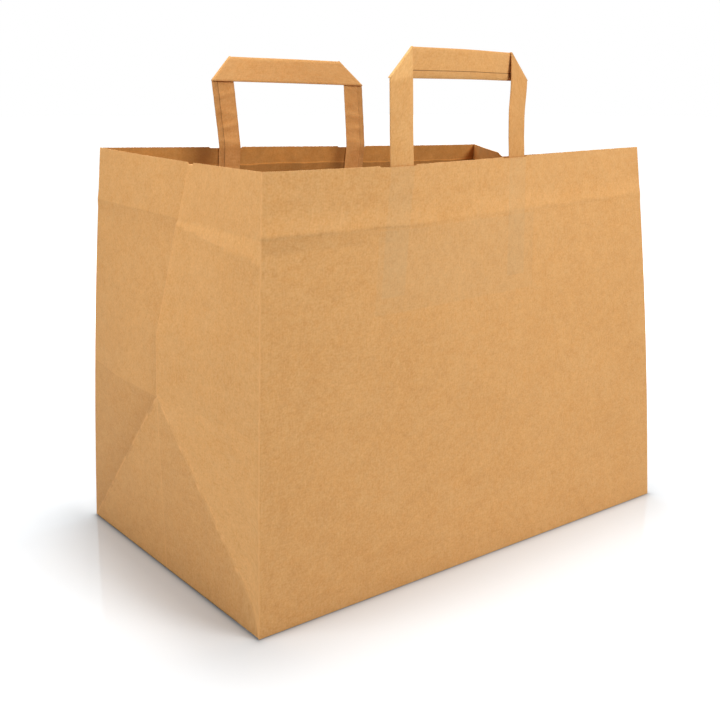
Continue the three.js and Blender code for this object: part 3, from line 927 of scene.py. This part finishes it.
# painted shade of the inside: it is made darker, browner and deeper in colour
INSIDE_SHADE = (0.78, 0.70, 0.50)
# How much each channel answers to the paper's darker places, its drift in hue and the tones of its facets
DEEPENING = (0.75, 1.3, 2.3)
DRIFT = (0.5, 0.0, -1.0)
FACET_WEIGHTS = {"sheet": (1.0, 1.17, 1.35), "tape": (0.95, 1.35, 1.8), "lap": (0.95, 1.0, 1.05)}


def kraft(name, colour, grain_along_u=False, features=None):
    """Kraft paper: clouds, fine grain, laid streaks and fibres. features adds the fold and seam lines."""
    material = bpy.data.materials.new(name)
    n = Nodes(material)
    uv = n.new("ShaderNodeUVMap", uv_map="sheet").outputs[0]
    separate = n.new("ShaderNodeSeparateXYZ")
    n.link(uv, separate.inputs[0])
    u, v = (n.mul(separate.outputs[k], 1 / MM) for k in (0, 1))
    along, across = (1.0, 9.0, 1.0), (9.0, 1.0, 1.0)
    if not grain_along_u:
        along, across = across, along
    cloud = n.noise(uv, 26.0, 2.0, 0.5)
    mottle = n.noise(uv, 110.0, 2.0, 0.55)
    flock = n.noise(uv, 230.0, 1.0, 0.5)
    speck = n.noise(uv, 420.0, 1.0, 0.5)
    grain = n.noise(uv, 900.0, 1.0, 0.5)
    streak = n.noise(uv, 170.0, 2.0, 0.6, along)
    fibre = n.noise(uv, 300.0, 2.0, 0.65, across)
    # darker places are also deeper in colour, and the hue drifts a little on its own
    depth = n.add(
        n.centred(cloud, 0.10),
        n.centred(mottle, 0.16),
        n.centred(flock, 0.10),
        n.centred(speck, 0.16),
        n.centred(grain, 0.28),
        n.centred(streak, 0.16),
        n.centred(fibre, 0.09),
    )
    hue = n.add(
        n.centred(n.noise(uv, 61.0, 2.0, 0.6), 0.11),
        n.centred(n.noise(uv, 330.0, 2.0, 0.6), 0.15),
    )
    uneven = n.vector("ADD", n.scaled(DEEPENING, depth), n.scaled(DRIFT, hue))
    uneven = n.vector("ADD", uneven, (1.0, 1.0, 1.0))
    light = tuple(min(1.0, c * 1.16 + 0.02) for c in colour[:3]) + (1.0,)
    dark = tuple(c * 0.80 for c in colour[:3]) + (1.0,)
    mixed = n.tint(colour, n.mul(n.band(speck, 0.60, 0.78), 0.12), dark)
    mixed = n.tint(mixed, n.mul(n.band(fibre, 0.62, 0.80), 0.22), light)
    mixed = n.vector("MULTIPLY", mixed, uneven)
    height = n.add(n.centred(speck, 0.5), n.centred(grain, 0.35), n.centred(streak, 0.5), n.centred(mottle, 0.6))
    if features:
        mixed, height = features(n, u, v, mixed, height, light, dark)
    shader = n.new("ShaderNodeBsdfPrincipled")
    n.link(mixed, shader.inputs["Base Color"])
    n.link(n.add(n.centred(mottle, 0.14), 0.80), shader.inputs["Roughness"])
    shader.inputs["Specular IOR Level"].default_value = 0.28
    bump = n.new("ShaderNodeBump")
    bump.inputs["Strength"].default_value = 0.35
    bump.inputs["Distance"].default_value = 0.12 * MM
    n.link(height, bump.inputs["Height"])
    n.link(bump.outputs[0], shader.inputs["Normal"])
    n.finish("ShaderNodeOutputMaterial", shader.outputs[0])
    return material


def sheet_features(n, u, v, mixed, height, light, dark):
    """Folds paler by wear and by a painted highlight, painted light and shade at the fold below the rim, on the
    facets and inside, and the handles that show through.
    """
    d_edge, d_diag, d_mid = n.attribute("d_edge"), n.attribute("d_diag"), n.attribute("d_mid")
    rear, inside = n.attribute("rear"), n.attribute("inside")
    outside = n.sub(1.0, inside)
    place = n.new("ShaderNodeUVMap", uv_map="sheet").outputs[0]
    # lines across the sheet wander by a millimetre or two, and come and go
    wander = n.add(v, n.centred(n.noise(place, 24.0, 2.0, 0.6), 5.0))
    uneven = n.band(n.noise(place, 17.0, 2.0, 0.6), 0.30, 0.60)
    wear = n.band(n.noise(place, 90.0, 3.0, 0.6), 0.30, 0.62)
    tone = 1.0

    # folds paler partly by wear and partly by a painted highlight: along the upright folds, the slanting folds,
    # the gusset creases, the back's and sides' fold at the apex, and the base's edge
    below_apex = n.add(n.mul(n.band(v, 95.0, 110.0), -0.2), 0.85)
    apex_line = n.mul(n.near(n.sub(v, APEX), 0.8), rear)
    fold = n.max(
        n.near(d_edge, 0.9),
        n.mul(n.near(d_diag, 0.9), 0.75),
        n.mul(n.near(d_mid, 0.8), below_apex),
        n.mul(apex_line, 0.7),
        n.mul(n.near(v, 0.7), outside, 0.7),
    )
    fold = n.mul(fold, n.add(n.mul(wear, 0.5), 0.45))
    mixed = n.tint(mixed, n.mul(fold, 0.75), light)

    # the fold below the rim: a painted shadow line under its crest, which fades to the right of the front panel,
    # a painted highlight on the band above it on the long panels, and painted shade on the band below it near the
    # front's left end
    crest_shadow = n.mul(n.near(n.sub(wander, FOLD - 1.0), 1.3), uneven)
    strength = n.add(n.mul(n.band(u, 230.0, 0.0), 0.055), 0.02)
    long_wall = n.band(u, W + 2.0, W)
    crest_highlight = n.mul(n.band(wander, FOLD - 0.5, FOLD + 1.5), n.band(wander, FOLD + 14.0, FOLD + 5.0))
    crest_highlight = n.mul(crest_highlight, long_wall)
    lower_shade = n.mul(n.band(wander, FOLD - 11.0, FOLD - 7.0), n.band(wander, FOLD + 0.5, FOLD - 1.5))
    tone = n.sub(tone, n.mul(crest_shadow, strength))
    tone = n.add(tone, n.mul(crest_highlight, 0.05))
    tone = n.sub(tone, n.mul(lower_shade, n.band(u, 130.0, 20.0), 0.06))
    # painted light and shade of the facets
    mixed = n.shaded(mixed, FACET_WEIGHTS["sheet"], n.attribute("painted_light_shade"))

    # the handle legs and the patch inside show through the front and back panels
    back_start = W + D + W - HANDLE_FROM["back"] - SPAN
    for start, shift in ((HANDLE_FROM["front"], PATCH_SHIFT), (back_start, -PATCH_SHIFT)):
        left = start + shift - (PATCH_W - SPAN) / 2
        sheet = n.box(u, v, left, left + PATCH_W, H - PATCH_BELOW - PATCH_H, H - PATCH_BELOW)
        legs = (start, start + SPAN - TAPE_W)
        tapes = n.max(*(n.box(u, v, leg, leg + TAPE_W, H - REACH, H + 5.0) for leg in legs))
        shade = n.mul(n.add(n.mul(sheet, 0.55), n.mul(tapes, 0.75)), outside)
        mixed = n.tint(mixed, n.mul(shade, 0.11), SHOW_THROUGH)
        tone = n.sub(tone, n.mul(shade, 0.012))

    # the inner face: a painted highlight on a crease below the rim and painted shade under it, cloudy, and
    # painted shade that makes it darker, browner and deeper in colour
    crease = H - 12.0
    tone = n.add(tone, n.mul(n.near(n.sub(wander, crease), 0.9), rear, inside, 0.28))
    tone = n.sub(tone, n.mul(n.band(wander, crease + 0.2, crease - 0.6), rear, inside, 0.24))
    cloudy = n.centred(n.noise(place, 75.0, 3.0, 0.6), 0.5)
    tone = n.add(tone, n.mul(cloudy, inside))
    mixed = n.tint(mixed, inside, n.vector("MULTIPLY", mixed, INSIDE_SHADE))
    height = n.add(height, n.mul(fold, 1.2))
    return n.scaled(mixed, tone), height


def tape_features(n, u, v, mixed, height, light, dark):
    """The tape's pale folded edges, a painted shadow along its seam, the darker band beyond it, the painted light
    and shade of its legs and strips, and painted shade of the crinkles on the crumpled legs.
    """
    seam_at = 4.12
    seam_shadow_colour = tuple(c * 0.42 for c in dark[:3]) + (1.0,)
    edge = n.max(n.near(v, 0.5), n.near(n.sub(v, TAPE_W), 0.5))
    mixed = n.tint(mixed, n.mul(edge, 0.35), light)
    # a painted shadow along the seam's step; the attribute worn marks where it is mostly left off, on the rear
    # handle's right leg
    seam = n.mul(n.near(n.sub(v, seam_at), 0.34), n.sub(1.0, n.attribute("worn")))
    mixed = n.tint(mixed, n.mul(seam, 0.8), seam_shadow_colour)
    lap = n.mul(n.band(v, 4.4, 3.9), -0.13)
    place = n.new("ShaderNodeUVMap", uv_map="sheet").outputs[0]
    # painted shade of the crinkles on the crumpled legs, added to the legs' and strips' painted light and shade
    crinkle_shade = n.centred(n.noise(place, 150.0, 2.0, 0.6, (1.5, 0.6, 1.0)), 0.34)
    uneven = n.add(n.attribute("painted_light_shade"), n.mul(crinkle_shade, n.attribute("crumpled")))
    mixed = n.shaded(mixed, FACET_WEIGHTS["tape"], uneven)
    mixed = n.shaded(mixed, FACET_WEIGHTS["lap"], lap)
    height = n.sub(height, n.mul(seam, 1.5))
    return mixed, height


bag_paper = kraft("bag_kraft", BAG, False, sheet_features)
tape_paper = kraft("tape_kraft", TAPE, True, tape_features)
patch_paper = kraft("patch_kraft", PATCH, True)
flap_paper = kraft("flap_kraft", BAG)

# Pieces

sheet = bag_sheet()
sheet.data.materials.append(bag_paper)
flaps = underside()
flaps.data.materials.append(flap_paper)
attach(sheet, "root")
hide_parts("bag_body")
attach(flaps, "root")
for side, node in (("front", "front_handle"), ("back", "rear_handle")):
    tape = tape_handle(side)
    tape.data.materials.append(tape_paper)
    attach(tape, "root")
    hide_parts(node)
    piece = patch(side)
    piece.data.materials.append(patch_paper)
    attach(piece, "root")
    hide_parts(node + "_patch")

# Floor, world, lights and camera

WHITE = (1.0, 1.0, 1.0, 1.0)
FLOOR_COLOUR = (0.72, 0.765, 0.80)
# Contact shadow: how dark at the base and how far it reaches in metres, all round and beside the left end
CONTACT, CONTACT_REACH = 0.55, 0.0022
LEFT_SHADE, LEFT_REACH = 0.27, 0.015
GLOSS_AT_BASE, GLOSS_REACH, GLOSS_ROUGHNESS = 0.13, 0.13, 0.06
GLOW_NEAR, GLOW_MIDDLE = 0.11, 0.12
WORLD_LEVEL = 0.14


def floor_material():
    """A pale floor with a faint gloss near the bag. To the camera it lightens to white away from the bag."""
    material = bpy.data.materials.new("floor_white")
    n = Nodes(material)
    place = n.new("ShaderNodeSeparateXYZ")
    n.link(n.new("ShaderNodeNewGeometry").outputs["Position"], place.inputs[0])
    x, y = place.outputs[0], place.outputs[1]
    beyond_x = n.max(n.sub(n.math("ABSOLUTE", x), W / 2 * MM), 0.0)
    beyond_y = n.max(n.sub(n.math("ABSOLUTE", y), D / 2 * MM), 0.0)
    off = n.math("SQRT", n.add(n.math("POWER", beyond_x, 2.0), n.math("POWER", beyond_y, 2.0)))
    narrow = n.mul(n.math("EXPONENT", n.mul(off, -1 / CONTACT_REACH)), CONTACT)
    wide = n.mul(
        n.math("EXPONENT", n.mul(off, -1 / LEFT_REACH)),
        LEFT_SHADE,
        n.band(x, -0.155, -0.172),
        n.band(y, -0.11, -0.07),
    )
    contact = n.sub(1.0, n.add(narrow, wide))
    diffuse = n.new("ShaderNodeBsdfDiffuse")
    n.link(n.scaled(FLOOR_COLOUR, contact), diffuse.inputs["Color"])
    gloss = n.new("ShaderNodeBsdfGlossy")
    gloss.inputs["Color"].default_value = WHITE
    gloss.inputs["Roughness"].default_value = GLOSS_ROUGHNESS
    glossy = n.mul(n.band(off, GLOSS_REACH, -0.02), GLOSS_AT_BASE)
    plain = n.mixed_shader(glossy, diffuse.outputs[0], gloss.outputs[0])
    glow = n.new("ShaderNodeEmission")
    glow.inputs["Color"].default_value = WHITE
    middle = n.mul(n.band(off, 0.0, 0.05), GLOW_MIDDLE)
    far = n.mul(n.band(off, 0.06, 0.45), 1.0 - GLOW_NEAR - GLOW_MIDDLE)
    n.link(n.mul(n.add(GLOW_NEAR, middle, far), contact), glow.inputs["Strength"])
    lit = n.new("ShaderNodeAddShader")
    n.link(plain, lit.inputs[0])
    n.link(glow.outputs[0], lit.inputs[1])
    path = n.new("ShaderNodeLightPath")
    n.finish("ShaderNodeOutputMaterial", n.mixed_shader(path.outputs["Is Camera Ray"], plain, lit.outputs[0]))
    return material


def studio_world():
    """A dim white surround, which the camera and the floor's gloss see as white."""
    world = bpy.data.worlds.new("studio")
    n = Nodes(world)
    levels = []
    for level in (WORLD_LEVEL, 1.0):
        background = n.new("ShaderNodeBackground")
        background.inputs["Color"].default_value = WHITE
        background.inputs["Strength"].default_value = level
        levels.append(background.outputs[0])
    path = n.new("ShaderNodeLightPath")
    seen = n.max(path.outputs["Is Camera Ray"], path.outputs["Is Glossy Ray"])
    n.finish("ShaderNodeOutputWorld", n.mixed_shader(seen, *levels))
    return world


def area_lamp(name, place, target, size, power):
    data = bpy.data.lights.new(name, "AREA")
    data.shape = "RECTANGLE"
    data.size, data.size_y = size
    data.energy = power
    lamp = bpy.data.objects.new(name, data)
    bpy.context.scene.collection.objects.link(lamp)
    lamp.location = Vector(place)
    lamp.rotation_mode = "QUATERNION"
    lamp.rotation_quaternion = (Vector(target) - Vector(place)).to_track_quat("-Z", "Y")
    lamp.visible_camera = False


# Each lamp's place, what it points at, its size in metres and its power in watts
LAMPS = {
    "key": ((0.12, -0.02, 1.25), (0.0, 0.0, 0.1), (0.3, 0.3), 4.5),
    "overhead": ((0.08, 0.24, 0.95), (0.0, 0.05, 0.1), (0.5, 0.5), 1.6),
    "right_rear": ((0.75, 0.85, 0.80), (0.0, 0.0, 0.12), (0.5, 0.5), 2.5),
    "front_high": ((0.3, -1.1, 1.1), (0.05, -0.05, 0.16), (0.5, 0.5), 7.76),
    "front_near": ((0.15, -0.52, 0.56), (0.02, -0.1, 0.16), (0.35, 0.2), 1.25),
    "left_near": ((-0.6, -0.05, 0.56), (-0.16, 0.0, 0.16), (0.35, 0.2), 2.29),
    "rear": ((0.2, 0.9, 0.9), (0.0, 0.0, 0.12), (0.5, 0.5), 2.93),
}

# The camera, solved from the photo's corners: place in mm, angles in radians, focal length and shift in pixels
IMAGE_PX = 720
CAMERA_AT = (-412.16, -506.27, 268.14)
PITCH, YAW, ROLL = 0.1528, 0.662, 0.0025
FOCAL_PX, SHIFT_UP_PX = 1007.65, -100
SENSOR = 36.0


def photo_camera():
    data = bpy.data.cameras.new("camera")
    camera = bpy.data.objects.new("camera", data)
    bpy.context.scene.collection.objects.link(camera)
    bpy.context.scene.camera = camera
    forward = Vector((math.sin(YAW) * math.cos(PITCH), math.cos(YAW) * math.cos(PITCH), -math.sin(PITCH)))
    right = Vector((math.cos(YAW), -math.sin(YAW), 0.0))
    up = right.cross(forward)
    across = right * math.cos(ROLL) + up * math.sin(ROLL)
    upright = up * math.cos(ROLL) - right * math.sin(ROLL)
    turn = Matrix((across, upright, -forward)).transposed().to_4x4()
    camera.matrix_world = Matrix.Translation(Vector(CAMERA_AT) * MM) @ turn
    data.sensor_width = SENSOR
    data.lens = FOCAL_PX / IMAGE_PX * SENSOR
    data.shift_x = 0.0
    data.shift_y = SHIFT_UP_PX / IMAGE_PX
    data.clip_start, data.clip_end = 0.01, 100.0


bpy.ops.mesh.primitive_plane_add(size=40, location=(0, 0, -0.3 * MM))
floor = bpy.context.object
floor.name = "floor"
floor.data.materials.append(floor_material())
bpy.context.scene.world = studio_world()
for name, setting in LAMPS.items():
    area_lamp(name, *setting)
photo_camera()
bpy.context.scene.view_settings.view_transform = "Standard"
